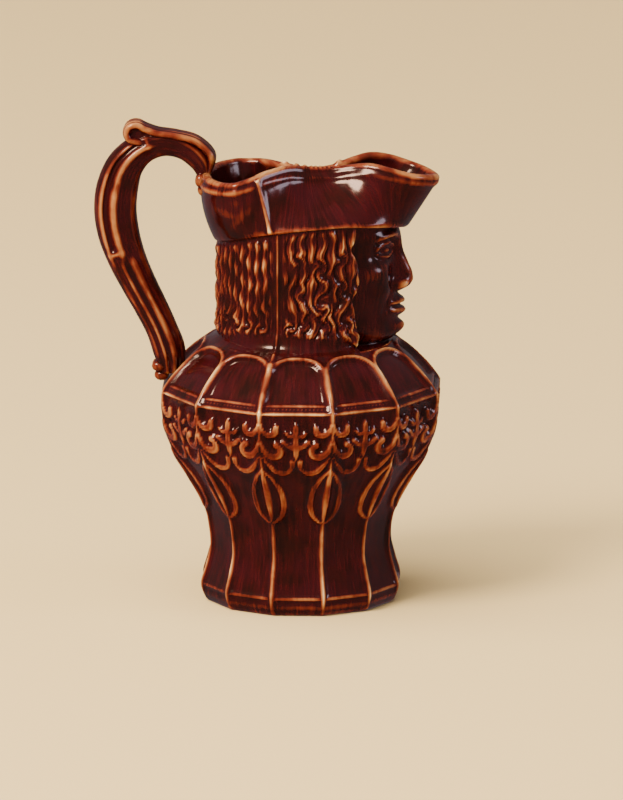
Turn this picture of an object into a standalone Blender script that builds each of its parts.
"""A toby jug: a twelve-sided pitcher of glazed pottery whose neck is a head in a three-cornered hat.

Metres, +Z up. The face looks along +X, the handle is at -X, and the origin is the centre of the underside.
The pot is one loft: across the underside, up the outside, over the rim and down the inside. The handle, its
thumb scroll and its knobs are joined to it, so the jug is one closed solid.
"""

import math

import bmesh
import bpy
import numpy as np

MM = 0.001
OBJECT_NAME = "toby_jug"

# Panels of the body, and the columns of the loft that each panel has.
PANELS = 12
HALF_PANEL = math.pi / PANELS
COLUMNS_PER_PANEL = 7
COLUMNS = PANELS * COLUMNS_PER_PANEL

# Body, as apothem against height, from the underside to the shoulder edge.
FOOT_LINE_Z = 8.3 * MM
FOOT_LINE_HALF_WIDTH = 1.3 * MM
SHOULDER_Z = 98.4 * MM
SHOULDER_APOTHEM = 62.0 * MM
FOOT_EDGE_Z = 1.6 * MM
BODY_PROFILE = (
    (0.0, 41.4 * MM),
    (FOOT_EDGE_Z, 42.9 * MM),
    (FOOT_LINE_Z, 44.0 * MM),
    (16.0 * MM, 42.0 * MM),
    (27.0 * MM, 39.7 * MM),
    (38.0 * MM, 40.8 * MM),
    (46.0 * MM, 43.0 * MM),
    (60.0 * MM, 50.3 * MM),
    (71.0 * MM, 56.6 * MM),
    (86.0 * MM, 61.2 * MM),
    (SHOULDER_Z, SHOULDER_APOTHEM),
)
PLAIN_LEVELS = tuple(z * MM for z in (16.0, 27.0, 38.0, 46.0))

# Shoulder, as apothem and height against the share of the way up it.
SHOULDER_OUT = (
    (0.0, SHOULDER_APOTHEM),
    (0.30, 56.8 * MM),
    (0.60, 50.6 * MM),
    (0.83, 45.2 * MM),
    (1.0, 41.5 * MM),
)
SHOULDER_UP = (
    (0.0, SHOULDER_Z),
    (0.30, 106.0 * MM),
    (0.60, 113.0 * MM),
    (0.83, 117.6 * MM),
    (1.0, 120.8 * MM),
)
EDGE_LINE = 0.045
FRAME_INNER_EDGE = 0.14
ARCH_SPRING = 0.60
ARCH_TOP = 0.92
ARCH_FULLNESS = 2.5
ARCH_LINE = 0.05

# Raised work on the body.
RIB_HALF_WIDTH = 1.4 * MM
RIB_HEIGHT = 1.1 * MM
LINE_HEIGHT = 0.9 * MM
PANEL_DEPTH = 0.9 * MM
RELIEF_LEVELS = tuple(z * MM for z in (51.0, 58.0, 65.0, 71.0, 76.0, 81.0, 86.0, 91.5, 95.8))
PENDANT_HEIGHT = 1.4 * MM
PENDANT_LOW = 46.0 * MM
PENDANT_HIGH = 71.0 * MM
PENDANT_FADE = 3.0 * MM
# The outline of the pendants and, above them, the scrolls: distance from the rib against height.
PENDANT_OUTLINE = (
    (0.0, 5.0 * MM),
    (38.0 * MM, 5.0 * MM),
    (PENDANT_LOW, 2.6 * MM),
    (51.0 * MM, 5.2 * MM),
    (58.0 * MM, 6.6 * MM),
    (65.0 * MM, 5.6 * MM),
    (PENDANT_HIGH, 4.2 * MM),
    (76.0 * MM, 8.0 * MM),
    (SHOULDER_Z, 8.5 * MM),
)
SCROLL_LEVELS = (81.0 * MM, 91.5 * MM)
SCROLL_REACH = 4.5 * MM
SCROLL_HEIGHT = 1.7 * MM
FLEUR_LEVEL = 86.5 * MM
FLEUR_REACH = 10.5 * MM
FLEUR_HALF_WIDTH = 2.2 * MM
GARLAND_LEVEL = 72.0 * MM
GARLAND_REACH = 4.0 * MM

# Collar and hair. Radii go out from the axis of the body.
COLLAR_RADIUS = 38.0 * MM
COLLAR_Z = 123.4 * MM
HAIR_BACK = 37.8 * MM
HAIR_SIDE = 35.8 * MM
HAIR_FRONT = 45.0 * MM
LOCK_DEPTH = 1.3 * MM
LOCK_FADE = 0.08
LOCK_WAVE = math.radians(1.3)
LOCK_WAVE_LENGTH = 19.0 * MM

# Face. It ends at the hair on each side, and columns crowd towards it.
FACE_EDGE = math.radians(46.0)
FACE_EDGE_SOFT = math.radians(5.0)
FRONT_CROWDING = 0.25
CHIN_LOW = 120.9 * MM
CHIN_CREASE = 120.5 * MM
CREASE_DEPTH = 0.6 * MM
CHIN = 124.5 * MM
CHIN_FOLD = 129.6 * MM
LOWER_LIP = 133.9 * MM
MOUTH = 136.7 * MM
UPPER_LIP = 139.3 * MM
NOSE_BASE = 144.6 * MM
NOSE_TIP = 148.2 * MM
NOSE_MIDDLE = 155.5 * MM
EYE_LOW = 160.4 * MM
EYE = 164.0 * MM
BROW = 168.9 * MM
BRIM = 172.6 * MM
FACE_LEVELS = (
    CHIN_LOW,
    CHIN,
    CHIN_FOLD,
    LOWER_LIP,
    MOUTH,
    UPPER_LIP,
    NOSE_BASE,
    NOSE_TIP,
    NOSE_MIDDLE,
    EYE_LOW,
    EYE,
    BROW,
    BRIM,
)
FACE_FRONT = 43.6 * MM
CHIN_TUCK = 2.6 * MM
CHEEK_SIDE = 29.5 * MM
JAW_SIDE = 24.5 * MM
NOSE_HALF_WIDTH = 6.4 * MM
NOSE_REACH = (
    (NOSE_BASE - 1.4 * MM, 0.0),
    (NOSE_BASE, 6.2 * MM),
    (NOSE_TIP, 9.2 * MM),
    (NOSE_MIDDLE, 6.0 * MM),
    (EYE, 2.8 * MM),
    (BROW, 1.0 * MM),
    (BRIM, 0.0),
)
EYE_APART = 10.4 * MM
# Rounded forms of the face: height, place to the side and reach there, level and reach up and down.
WINGS_OF_NOSE = (2.8 * MM, 4.8 * MM, 3.4 * MM, NOSE_BASE + 1.8 * MM, 3.6 * MM)
BROWS = (1.5 * MM, 10.0 * MM, 11.0 * MM, BROW + 0.6 * MM, 4.2 * MM)
SOCKETS = (-2.6 * MM, EYE_APART, 8.0 * MM, EYE, 5.6 * MM)
EYES = (2.4 * MM, EYE_APART, 5.2 * MM, EYE, 3.4 * MM)
CHEEKS = (1.8 * MM, 16.5 * MM, 11.0 * MM, NOSE_TIP + 3.0 * MM, 12.0 * MM)
JAWS = (1.4 * MM, 0.0, 17.0 * MM, MOUTH, 9.0 * MM)
UPPER_LIP_FORM = (1.9 * MM, 0.0, 11.0 * MM, UPPER_LIP, 2.5 * MM)
LOWER_LIP_FORM = (2.2 * MM, 0.0, 10.0 * MM, LOWER_LIP, 2.8 * MM)
CHIN_FORM = (2.4 * MM, 0.0, 12.0 * MM, CHIN + 0.8 * MM, 6.0 * MM)
FEATURES = (
    WINGS_OF_NOSE,
    BROWS,
    SOCKETS,
    EYES,
    CHEEKS,
    JAWS,
    UPPER_LIP_FORM,
    LOWER_LIP_FORM,
    CHIN_FORM,
)

# Lower end of the hair, or of the chin at the front, against the angle from the front.
LOW_EDGE = (
    (0, CHIN_LOW),
    (44, CHIN_LOW),
    (56, 128.4 * MM),
    (120, 128.4 * MM),
    (180, 125.6 * MM),
)

# Hat: its lower edge against the angle from the front, and the outline at that edge.
HAT_LOW = (
    (0, BRIM),
    (30, 176.6 * MM),
    (60, 178.6 * MM),
    (90, 177.4 * MM),
    (115, 174.4 * MM),
    (140, 170.2 * MM),
    (180, 165.2 * MM),
)
HAT_FRONT = 48.6 * MM
HAT_SIDE = 37.4 * MM
HAT_BACK = 38.8 * MM
# Outer edge of the rim against the angle from the front: along X, to the side, and height.
RIM_PLAN = (
    (0, 63.2 * MM, 0.0, 197.4 * MM),
    (9, 58.5 * MM, 9.6 * MM, 198.6 * MM),
    (18, 50.5 * MM, 15.4 * MM, 200.4 * MM),
    (28, 41.0 * MM, 17.2 * MM, 203.0 * MM),
    (40, 31.0 * MM, 14.8 * MM, 204.6 * MM),
    (52, 22.5 * MM, 11.8 * MM, 203.4 * MM),
    (65, 13.5 * MM, 10.6 * MM, 201.9 * MM),
    (78, 4.0 * MM, 12.2 * MM, 202.3 * MM),
    (90, -5.0 * MM, 18.4 * MM, 203.8 * MM),
    (100, -12.5 * MM, 25.6 * MM, 203.2 * MM),
    (111, -19.5 * MM, 31.2 * MM, 201.4 * MM),
    (125, -28.0 * MM, 32.6 * MM, 199.0 * MM),
    (142, -36.5 * MM, 27.0 * MM, 197.8 * MM),
    (160, -43.0 * MM, 15.0 * MM, 197.6 * MM),
    (180, -45.4 * MM, 0.0, 197.6 * MM),
)
# The flap on the +Y side sags a little at its middle.
SAG = 5.6 * MM
SAG_PLACE = -5.0 * MM
SAG_REACH = 34.0 * MM
# How far the hat swells past a straight line from its lower edge to its rim.
HAT_SWELL = (
    (0, 0.0),
    (35, -1.6 * MM),
    (65, -3.6 * MM),
    (95, -2.4 * MM),
    (120, 0.6 * MM),
    (150, 2.2 * MM),
    (180, 2.4 * MM),
)
HAT_SHARES = (0.10, 0.42, 0.74)
CORNER = 112
CORNER_RIB_HEIGHT = 1.2 * MM
RIM_THICKNESS = 4.4 * MM
RIM_ROUNDING = 2.0 * MM

# Inside. Its levels go down from the neck.
WALL = 4.9 * MM
HAT_WALL = 6.5 * MM
SHOULDER_WALL = 6.9 * MM
FACE_WALL = 5.4 * MM
HAT_INSIDE_SHARES = (0.64, 0.30)
BELOW_BRIM = 1.0 * MM
HEAD_INSIDE_LEVELS = (144.0 * MM, 122.0 * MM)
# The hollow widens from the face to the hair between these angles from the front.
HOLLOW_EDGE = math.radians(47.0)
HOLLOW_EDGE_SOFT = math.radians(24.0)
SHOULDER_INSIDE_LEVELS = (112.0 * MM, 102.0 * MM)
BODY_INSIDE_LEVELS = tuple(z * MM for z in (90.0, 73.0, 52.0, 34.0, 13.0))
FLOOR_Z = 6.0 * MM
FLOOR_RADIUS = 33.0 * MM

# Handle: points of its centre line in the XZ plane, each with half the depth of the strap there.
HANDLE_LINE = (
    (-43.4 * MM, 195.6 * MM, 3.2 * MM),
    (-45.8 * MM, 202.0 * MM, 4.8 * MM),
    (-52.5 * MM, 208.2 * MM, 5.4 * MM),
    (-62.0 * MM, 210.6 * MM, 5.9 * MM),
    (-72.0 * MM, 208.0 * MM, 7.0 * MM),
    (-79.6 * MM, 200.6 * MM, 8.4 * MM),
    (-83.6 * MM, 190.6 * MM, 9.2 * MM),
    (-84.8 * MM, 180.0 * MM, 9.5 * MM),
    (-83.4 * MM, 169.6 * MM, 9.2 * MM),
    (-79.6 * MM, 157.4 * MM, 8.5 * MM),
    (-74.6 * MM, 146.2 * MM, 7.7 * MM),
    (-69.0 * MM, 135.0 * MM, 7.0 * MM),
    (-64.2 * MM, 124.4 * MM, 6.5 * MM),
    (-60.8 * MM, 113.6 * MM, 6.4 * MM),
    (-59.9 * MM, 104.4 * MM, 4.6 * MM),
)
HANDLE_STATIONS = 19
# Half of the strap's section from its outer face inwards: depth and breadth as shares of half the depth.
HANDLE_SECTION = (
    (1.0, 0.0),
    (0.92, 0.38),
    (0.56, 0.76),
    (0.30, 0.66),
    (0.02, 0.90),
    (-0.24, 0.80),
    (-0.76, 0.64),
    (-1.0, 0.0),
)

# Thumb scroll: a thin strap that lies on the handle and rolls back on itself at its free end.
SCROLL_LINE = (
    (-40.6 * MM, 199.4 * MM),
    (-42.6 * MM, 206.0 * MM),
    (-48.4 * MM, 211.8 * MM),
    (-57.0 * MM, 214.8 * MM),
    (-66.0 * MM, 216.2 * MM),
    (-71.5 * MM, 218.2 * MM),
    (-75.6 * MM, 219.8 * MM),
    (-78.6 * MM, 218.0 * MM),
    (-78.6 * MM, 214.4 * MM),
    (-75.6 * MM, 212.4 * MM),
    (-70.5 * MM, 211.8 * MM),
)
SCROLL_STATIONS = 15
SCROLL_HALF_THICKNESS = 2.0 * MM
SCROLL_HALF_BREADTH = 6.2 * MM
SCROLL_ROUNDING = 0.55
SCROLL_WEB = ((-72.0 * MM, 214.6 * MM), (7.0 * MM, 3.4 * MM, 3.0 * MM))

# Knobs where the handle meets the pot: centre in the XZ plane, and radii along X, Y and Z.
KNOBS = (
    ((-64.9 * MM, 107.6 * MM), (2.8 * MM, 4.6 * MM, 2.4 * MM)),
    ((-63.8 * MM, 103.2 * MM), (2.9 * MM, 4.2 * MM, 2.4 * MM)),
    ((-46.0 * MM, 193.4 * MM), (2.2 * MM, 4.2 * MM, 2.6 * MM)),
    ((-45.2 * MM, 189.0 * MM), (2.0 * MM, 3.4 * MM, 2.3 * MM)),
)
KNOB_SEGMENTS = 9
KNOB_RINGS = 6

GLAZE_COLOUR = (0.092, 0.012, 0.008, 1.0)
GLAZE_ROUGHNESS = 0.12
SHARP_ANGLE = math.radians(40)
WELD = 0.0001


def through(points, at):
    """A smooth curve through points given as (place, value), read at the places in at."""
    x, y = np.array(points, float).T
    steps = np.diff(y) / np.diff(x)
    before, after = steps[:-1], steps[1:]
    turns = before * after <= 0
    middle = np.where(turns, 0, 2 * before * after / np.where(turns, 1, before + after))
    slopes = np.concatenate([steps[:1], middle, steps[-1:]])
    at = np.clip(at, x[0], x[-1])
    i = np.clip(np.searchsorted(x, at, side="right") - 1, 0, len(x) - 2)
    width = x[i + 1] - x[i]
    t = (at - x[i]) / width
    ends = y[i] + (y[i + 1] - y[i]) * t * t * (3 - 2 * t)
    return ends + t * (1 - t) * width * ((1 - t) * slopes[i] - t * slopes[i + 1])


def both_sides(points, value, odd):
    """A curve given from the front to the back, with its mirror image before and after it."""
    half = [(p[0], p[value]) for p in points]
    sign = -1 if odd else 1
    before = [(-place, sign * v) for place, v in reversed(half[1:])]
    after = [(360 - place, sign * v) for place, v in reversed(half[:-1])]
    return before + half + after[:2]


def step(x):
    """A soft step from 0 to 1 as x goes from 0 to 1."""
    x = np.clip(x, 0, 1)
    return x * x * (3 - 2 * x)


def hump(x, centre, reach):
    """A rounded hump of height 1 at centre that ends reach to each side of it."""
    return np.cos(np.clip((x - centre) / reach, -1, 1) * math.pi / 2) ** 2


def oval(angle, front, side, back):
    """Radius of an oval whose front and back halves differ in length."""
    along = np.where(np.cos(angle) > 0, front, back)
    return 1 / np.hypot(np.cos(angle) / along, np.sin(angle) / side)


def ring(angle, radius, z):
    """Points at a radius and a height in the directions given by angle."""
    return np.stack([radius * np.cos(angle), radius * np.sin(angle), z + 0 * angle], axis=1)


def head_angles():
    """Directions of the columns on the head, closer together at the front."""
    even = HALF_PANEL + np.arange(COLUMNS) * 2 * math.pi / COLUMNS
    return even - FRONT_CROWDING * np.sin(even)


def from_front(angle):
    """Angle from the front in degrees, from -180 to 180."""
    return np.degrees((angle + math.pi) % (2 * math.pi) - math.pi)


def panel_columns(rib, side, middle):
    """Values of the seven columns of a panel, from its rib, its sides and its middle."""
    return np.array([rib[0], rib[1], side, middle, middle, side, rib[1]])


def panel_places(apothem, z):
    """Where the columns stand across a panel, as shares of its breadth."""
    breadth = 2 * apothem * math.tan(HALF_PANEL)
    foot = RIB_HALF_WIDTH / breadth
    side = through(PENDANT_OUTLINE, z) / breadth
    middle = 0.5 - FLEUR_HALF_WIDTH / breadth
    return np.array([0, foot, side, middle, 1 - middle, 1 - side, 1 - foot])


def panel_ring(apothem, z, places, heights, roundness=0.0):
    """A twelve-sided ring. apothem, z, places and heights hold one value for each column of a panel."""
    apothem, z, heights = (np.tile(np.resize(v, COLUMNS_PER_PANEL), PANELS) for v in (apothem, z, heights))
    place = np.tile(places, PANELS)
    rib = HALF_PANEL * (1 + 2 * np.repeat(np.arange(PANELS), COLUMNS_PER_PANEL))
    across = (2 * place - 1) * math.tan(HALF_PANEL)
    angle = rib + HALF_PANEL + np.arctan(across)
    flat = apothem * np.hypot(1, across)
    radius = flat + (apothem / math.cos(HALF_PANEL / 2) - flat) * roundness
    return ring(angle, radius + heights, z)


def body_ring(z, line=0.0):
    """A ring of the body at a height, with the ribs, pendants and scrolls that cross it."""
    apothem = through(BODY_PROFILE, z)
    rib = RIB_HEIGHT * step(z / FOOT_LINE_Z)
    pendant = PENDANT_HEIGHT * step((z - PENDANT_LOW) / PENDANT_FADE) * (z < PENDANT_HIGH)
    scrolls = SCROLL_HEIGHT * sum(hump(z, level, SCROLL_REACH) for level in SCROLL_LEVELS)
    garland = LINE_HEIGHT * hump(z, GARLAND_LEVEL, GARLAND_REACH)
    fleur = SCROLL_HEIGHT * hump(z, FLEUR_LEVEL, FLEUR_REACH)
    heights = panel_columns((rib, 0), max(pendant, scrolls, garland), max(fleur, garland))
    return panel_ring(apothem, z, panel_places(apothem, z), np.maximum(heights, line))


def body_rings():
    """The outside of the body up to the shoulder edge."""
    foot = [body_ring(z) for z in (0.0, FOOT_EDGE_Z, FOOT_LINE_Z - FOOT_LINE_HALF_WIDTH)]
    foot.append(body_ring(FOOT_LINE_Z, LINE_HEIGHT))
    foot.append(body_ring(FOOT_LINE_Z + FOOT_LINE_HALF_WIDTH))
    return foot + [body_ring(z) for z in PLAIN_LEVELS + RELIEF_LEVELS]


def shoulder_ring(share, heights):
    """A ring of the shoulder. share is the way up it, one value or one for each column of a panel."""
    share = np.resize(share, COLUMNS_PER_PANEL)
    apothem = through(SHOULDER_OUT, share)
    places = panel_places(apothem.mean(), SHOULDER_Z)
    roundness = np.tile(step(share), PANELS)
    return panel_ring(apothem, through(SHOULDER_UP, share), places, heights, roundness)


def shoulder_rings():
    """The outside of the shoulder, whose rows bend to follow an arch on each panel."""
    places = panel_places(SHOULDER_APOTHEM, SHOULDER_Z)
    off_middle = np.clip(np.abs(places - 0.5) / (0.5 - places[1]), 0, 1)
    arch = ARCH_SPRING + (ARCH_TOP - ARCH_SPRING) * (1 - off_middle**ARCH_FULLNESS) ** (1 / ARCH_FULLNESS)
    proud = panel_columns((RIB_HEIGHT, 0), 0, 0)
    sunk = panel_columns((RIB_HEIGHT, 0), -PANEL_DEPTH, -PANEL_DEPTH)
    crest = panel_columns((RIB_HEIGHT, LINE_HEIGHT), LINE_HEIGHT, LINE_HEIGHT)
    return [
        shoulder_ring(0, np.maximum(proud, LINE_HEIGHT)),
        shoulder_ring(EDGE_LINE, proud),
        shoulder_ring(FRAME_INNER_EDGE - EDGE_LINE, proud),
        shoulder_ring(FRAME_INNER_EDGE, sunk),
        shoulder_ring((FRAME_INNER_EDGE + arch) / 2, sunk),
        shoulder_ring(arch - ARCH_LINE, sunk),
        shoulder_ring(arch, crest),
        shoulder_ring(arch + ARCH_LINE, proud),
        shoulder_ring(1, 0),
    ]


def hair_low(angle):
    """Height of the lower end of the hair, or of the chin at the front."""
    return through(LOW_EDGE, np.abs(from_front(angle)))


def hat_low(angle):
    """Height of the lower edge of the hat."""
    return through(HAT_LOW, np.abs(from_front(angle)))


def face_relief(y, z):
    """How far the features stand out of the plain curve of the face."""
    side = np.abs(y)
    relief = through(NOSE_REACH, z) * hump(side, 0, NOSE_HALF_WIDTH)
    for height, place, reach, level, level_reach in FEATURES:
        relief = relief + height * hump(side, place, reach) * hump(z, level, level_reach)
    return relief


def face_curve(angle, z):
    """Radius of the plain curve of the face from the body's axis."""
    side = JAW_SIDE + (CHEEK_SIDE - JAW_SIDE) * step((z - CHIN) / (NOSE_BASE - CHIN))
    return oval(angle, FACE_FRONT, side, side) - CHIN_TUCK * step((CHIN - z) / (CHIN - CHIN_LOW))


def face_radius(angle, z):
    """Radius of the face with its features."""
    plain = face_curve(angle, z)
    return plain + face_relief(plain * np.sin(angle), z)


def hair_radius(angle, share):
    """Radius of the hair. Its locks take every second column and die away under the hat."""
    lock = np.where(np.arange(COLUMNS) % 2 == 0, LOCK_DEPTH, -LOCK_DEPTH)
    return oval(angle, HAIR_FRONT, HAIR_SIDE, HAIR_BACK) + lock * step((1 - share) / LOCK_FADE)


def head_ring(level):
    """A ring of the head. level is a height on the face, and the hair is shared out in the same way."""
    angle = head_angles()
    share = (level - CHIN_LOW) / (BRIM - CHIN_LOW)
    z = hair_low(angle) + share * (hat_low(angle) - hair_low(angle))
    off = np.radians(np.abs(from_front(angle)))
    is_hair = step((off - FACE_EDGE) / FACE_EDGE_SOFT + 0.5)
    wave = LOCK_WAVE * np.sin(2 * math.pi * z / LOCK_WAVE_LENGTH) * is_hair
    radius = face_radius(angle, z) * (1 - is_hair) + hair_radius(angle, share) * is_hair
    return ring(angle + wave, radius, z)


def collar_ring():
    """The narrowest ring, between the shoulder and the hair. At the front it is the crease under the chin."""
    angle = head_angles()
    front = step((FACE_EDGE - np.radians(np.abs(from_front(angle)))) / FACE_EDGE_SOFT + 0.5)
    crease_radius = FACE_FRONT - CHIN_TUCK - CREASE_DEPTH
    radius = COLLAR_RADIUS + (crease_radius - COLLAR_RADIUS) * front
    return ring(angle, radius, COLLAR_Z + (CHIN_CREASE - COLLAR_Z) * front)


def rim_edge():
    """The outer edge of the hat's rim, and the direction that points out of it in plan."""
    turn = from_front(head_angles())
    x, y, z = (through(both_sides(RIM_PLAN, value, value == 2), turn) for value in (1, 2, 3))
    z = z - SAG * hump(x, SAG_PLACE, SAG_REACH) * (y > 0)
    edge = np.stack([x, y, z], axis=1)
    along = np.roll(edge, -1, axis=0) - np.roll(edge, 1, axis=0)
    out = np.stack([along[:, 1], -along[:, 0], 0 * x], axis=1)
    return edge, out / np.linalg.norm(out, axis=1)[:, None]


def hat_ring(share, inset=0.0):
    """A ring of the hat. share is the way up from its lower edge to its rim."""
    angle = head_angles()
    base = ring(angle, oval(angle, HAT_FRONT, HAT_SIDE, HAT_BACK), hat_low(angle))
    edge, rim_out = rim_edge()
    out = ring(angle, 1, 0)
    bow = through(HAT_SWELL, np.abs(from_front(angle))) * 4 * share * (1 - share)
    inwards = out + (rim_out - out) * share
    return base + (edge - [0, 0, RIM_ROUNDING] - base) * share + out * bow[:, None] - inwards * inset


def corner_rib():
    """Height of the rib at each side corner of the hat, for every column."""
    off = np.abs(np.abs(from_front(head_angles())) - CORNER)
    return CORNER_RIB_HEIGHT * (off == off.min())


def hat_rings():
    """The outside of the hat from its lower edge to the top of its rim."""
    rib = ring(head_angles(), corner_rib(), 0)
    sides = [hat_ring(share) + rib for share in HAT_SHARES]
    edge, out = rim_edge()
    return [hat_ring(0), *sides, hat_ring(1), edge - out * RIM_THICKNESS / 2]


def head_inside_ring(z):
    """A ring of the hollow behind the face and the hair."""
    angle = head_angles()
    is_hair = step((np.radians(np.abs(from_front(angle))) - HOLLOW_EDGE) / HOLLOW_EDGE_SOFT)
    behind_hair = oval(angle, HAIR_FRONT, HAIR_SIDE, HAIR_BACK) - WALL
    behind_face = face_curve(angle, z) - FACE_WALL
    return ring(angle, behind_face + (behind_hair - behind_face) * is_hair, z)


def inside_rings():
    """The inside from the rim down to the floor, with half as many columns."""
    rings = [hat_ring(1, RIM_THICKNESS)]
    rings += [hat_ring(share, HAT_WALL) for share in HAT_INSIDE_SHARES]
    rings.append(head_inside_ring(hat_low(head_angles()) - BELOW_BRIM))
    rings += [head_inside_ring(z) for z in HEAD_INSIDE_LEVELS]
    even = HALF_PANEL + np.arange(COLUMNS) * 2 * math.pi / COLUMNS
    for z in SHOULDER_INSIDE_LEVELS:
        share = np.interp(z, [up for _, up in SHOULDER_UP], [place for place, _ in SHOULDER_UP])
        rings.append(ring(even, through(SHOULDER_OUT, share) - SHOULDER_WALL, z))
    rings += [ring(even, through(BODY_PROFILE, z) - WALL, z) for z in BODY_INSIDE_LEVELS]
    rings.append(ring(even, FLOOR_RADIUS, FLOOR_Z))
    return [points[::2] for points in rings]


def add_ring(mesh, points):
    """Adds the vertices of a ring."""
    return [mesh.verts.new(p) for p in points]


def join_rings(mesh, lower, upper):
    """Adds the strip of faces between two rings. The upper may have half as many vertices as the lower."""
    n = len(lower)
    if len(upper) == n:
        for i in range(n):
            j = (i + 1) % n
            mesh.faces.new((lower[i], lower[j], upper[j], upper[i]))
        return
    for i in range(0, n, 2):
        here, there = upper[i // 2], upper[(i // 2 + 1) % len(upper)]
        mesh.faces.new((lower[i], lower[i + 1], here))
        mesh.faces.new((lower[i + 1], lower[(i + 2) % n], there, here))


def new_object(name, data, collection):
    """An object in a collection."""
    made = bpy.data.objects.new(name, data)
    collection.objects.link(made)
    return made


def new_guide(name, data, collection):
    """An object that only shapes another one."""
    made = new_object(name, data, collection)
    made.hide_render = True
    made.display_type = "WIRE"
    return made


def glaze():
    """The brown glaze."""
    material = bpy.data.materials.new("brown_glaze")
    material.use_nodes = True
    shader = material.node_tree.nodes["Principled BSDF"]
    shader.inputs["Base Color"].default_value = GLAZE_COLOUR
    shader.inputs["Roughness"].default_value = GLAZE_ROUGHNESS
    shader.inputs["Metallic"].default_value = 0.0
    return material


def make_pot(collection):
    """The pot without its handle, as one loft."""
    mesh = bmesh.new()
    profiles = body_rings() + shoulder_rings() + [collar_ring()]
    profiles += [head_ring(level) for level in FACE_LEVELS] + hat_rings() + inside_rings()
    rings = [add_ring(mesh, points) for points in profiles]
    for lower, upper in zip(rings, rings[1:]):
        join_rings(mesh, lower, upper)
    mesh.faces.new(reversed(rings[0]))
    mesh.faces.new(rings[-1])
    data = bpy.data.meshes.new(OBJECT_NAME)
    mesh.to_mesh(data)
    mesh.free()
    data.materials.append(glaze())
    return new_object(OBJECT_NAME, data, collection)


def spread_points(line, count):
    """Points at even steps along a smooth curve through the points of line."""
    line = np.array(line)
    lengths = np.concatenate([[0], np.cumsum(np.linalg.norm(np.diff(line[:, :2], axis=0), axis=1))])
    at = np.linspace(0, lengths[-1], count)
    return np.stack([through(list(zip(lengths, column)), at) for column in line.T], axis=1)


def outline_curve(name, points, collection):
    """A closed flat curve, used as the section of a strap."""
    curve = bpy.data.curves.new(name, "CURVE")
    curve.dimensions = "2D"
    curve.fill_mode = "NONE"
    spline = curve.splines.new("POLY")
    spline.points.add(len(points) - 1)
    for point, (x, y) in zip(spline.points, points):
        point.co = (x, y, 0, 1)
    spline.use_cyclic_u = True
    return new_guide(name, curve, collection)


def strap(name, line, section, collection):
    """A closed mesh: a section swept along points given as x, z and scale."""
    curve = bpy.data.curves.new(name, "CURVE")
    curve.dimensions = "2D"
    curve.bevel_mode = "OBJECT"
    curve.bevel_object = section
    curve.use_fill_caps = True
    spline = curve.splines.new("POLY")
    spline.points.add(len(line) - 1)
    for point, (x, z, scale) in zip(spline.points, line):
        point.co = (x, z, 0, 1)
        point.radius = scale
    path = new_object(name + "_path", curve, collection)
    path.rotation_euler = (math.pi / 2, 0, 0)
    bpy.context.view_layer.update()
    evaluated = path.evaluated_get(bpy.context.evaluated_depsgraph_get())
    data = bpy.data.meshes.new_from_object(evaluated)
    made = new_guide(name, data, collection)
    made.matrix_world = path.matrix_world
    bpy.data.objects.remove(path)
    closed = bmesh.new()
    closed.from_mesh(data)
    bmesh.ops.remove_doubles(closed, verts=closed.verts, dist=WELD)
    bmesh.ops.recalc_face_normals(closed, faces=closed.faces)
    closed.to_mesh(data)
    closed.free()
    return made


def handle_strap(collection):
    """The handle: an eight-sided strap with a long sunk line on each side, thick at its bend."""
    right = list(HANDLE_SECTION)
    left = [(depth, -breadth) for depth, breadth in reversed(right[1:-1])]
    section = outline_curve("handle_section", right + left, collection)
    return strap("handle_form", spread_points(HANDLE_LINE, HANDLE_STATIONS), section, collection)


def scroll_strap(collection):
    """The thumb scroll's strap."""
    t, b = SCROLL_HALF_THICKNESS, SCROLL_HALF_BREADTH
    r = SCROLL_ROUNDING * t
    corner = ((t, b - r), (t - r, b), (r - t, b), (-t, b - r))
    points = corner + tuple((x, -y) for x, y in reversed(corner))
    section = outline_curve("scroll_section", points, collection)
    line = [(x, z, 1.0) for x, z in spread_points(SCROLL_LINE, SCROLL_STATIONS)]
    return strap("scroll_form", line, section, collection)


def knob(name, place, radii, collection):
    """An egg-shaped knob."""
    mesh = bmesh.new()
    bmesh.ops.create_uvsphere(mesh, u_segments=KNOB_SEGMENTS, v_segments=KNOB_RINGS, radius=1)
    bmesh.ops.scale(mesh, vec=radii, verts=mesh.verts)
    bmesh.ops.translate(mesh, vec=(place[0], 0, place[1]), verts=mesh.verts)
    data = bpy.data.meshes.new(name)
    mesh.to_mesh(data)
    mesh.free()
    return new_guide(name, data, collection)


def join(pot, pieces):
    """Joins the pieces to the pot."""
    for piece in pieces:
        union = pot.modifiers.new(piece.name, "BOOLEAN")
        union.operation = "UNION"
        union.solver = "EXACT"
        union.object = piece


def main():
    """Builds the jug."""
    for old in list(bpy.data.objects):
        bpy.data.objects.remove(old)
    parts = bpy.data.collections.new(OBJECT_NAME)
    forms = bpy.data.collections.new("joined_forms")
    for collection in (parts, forms):
        bpy.context.scene.collection.children.link(collection)
    pot = make_pot(parts)
    pieces = [handle_strap(forms), scroll_strap(forms), knob("scroll_web", *SCROLL_WEB, forms)]
    pieces += [knob(f"knob_{i + 1}", *shape, forms) for i, shape in enumerate(KNOBS)]
    join(pot, pieces)
    pot.data.shade_smooth()
    pot.data.set_sharp_from_angle(angle=SHARP_ANGLE)


main()
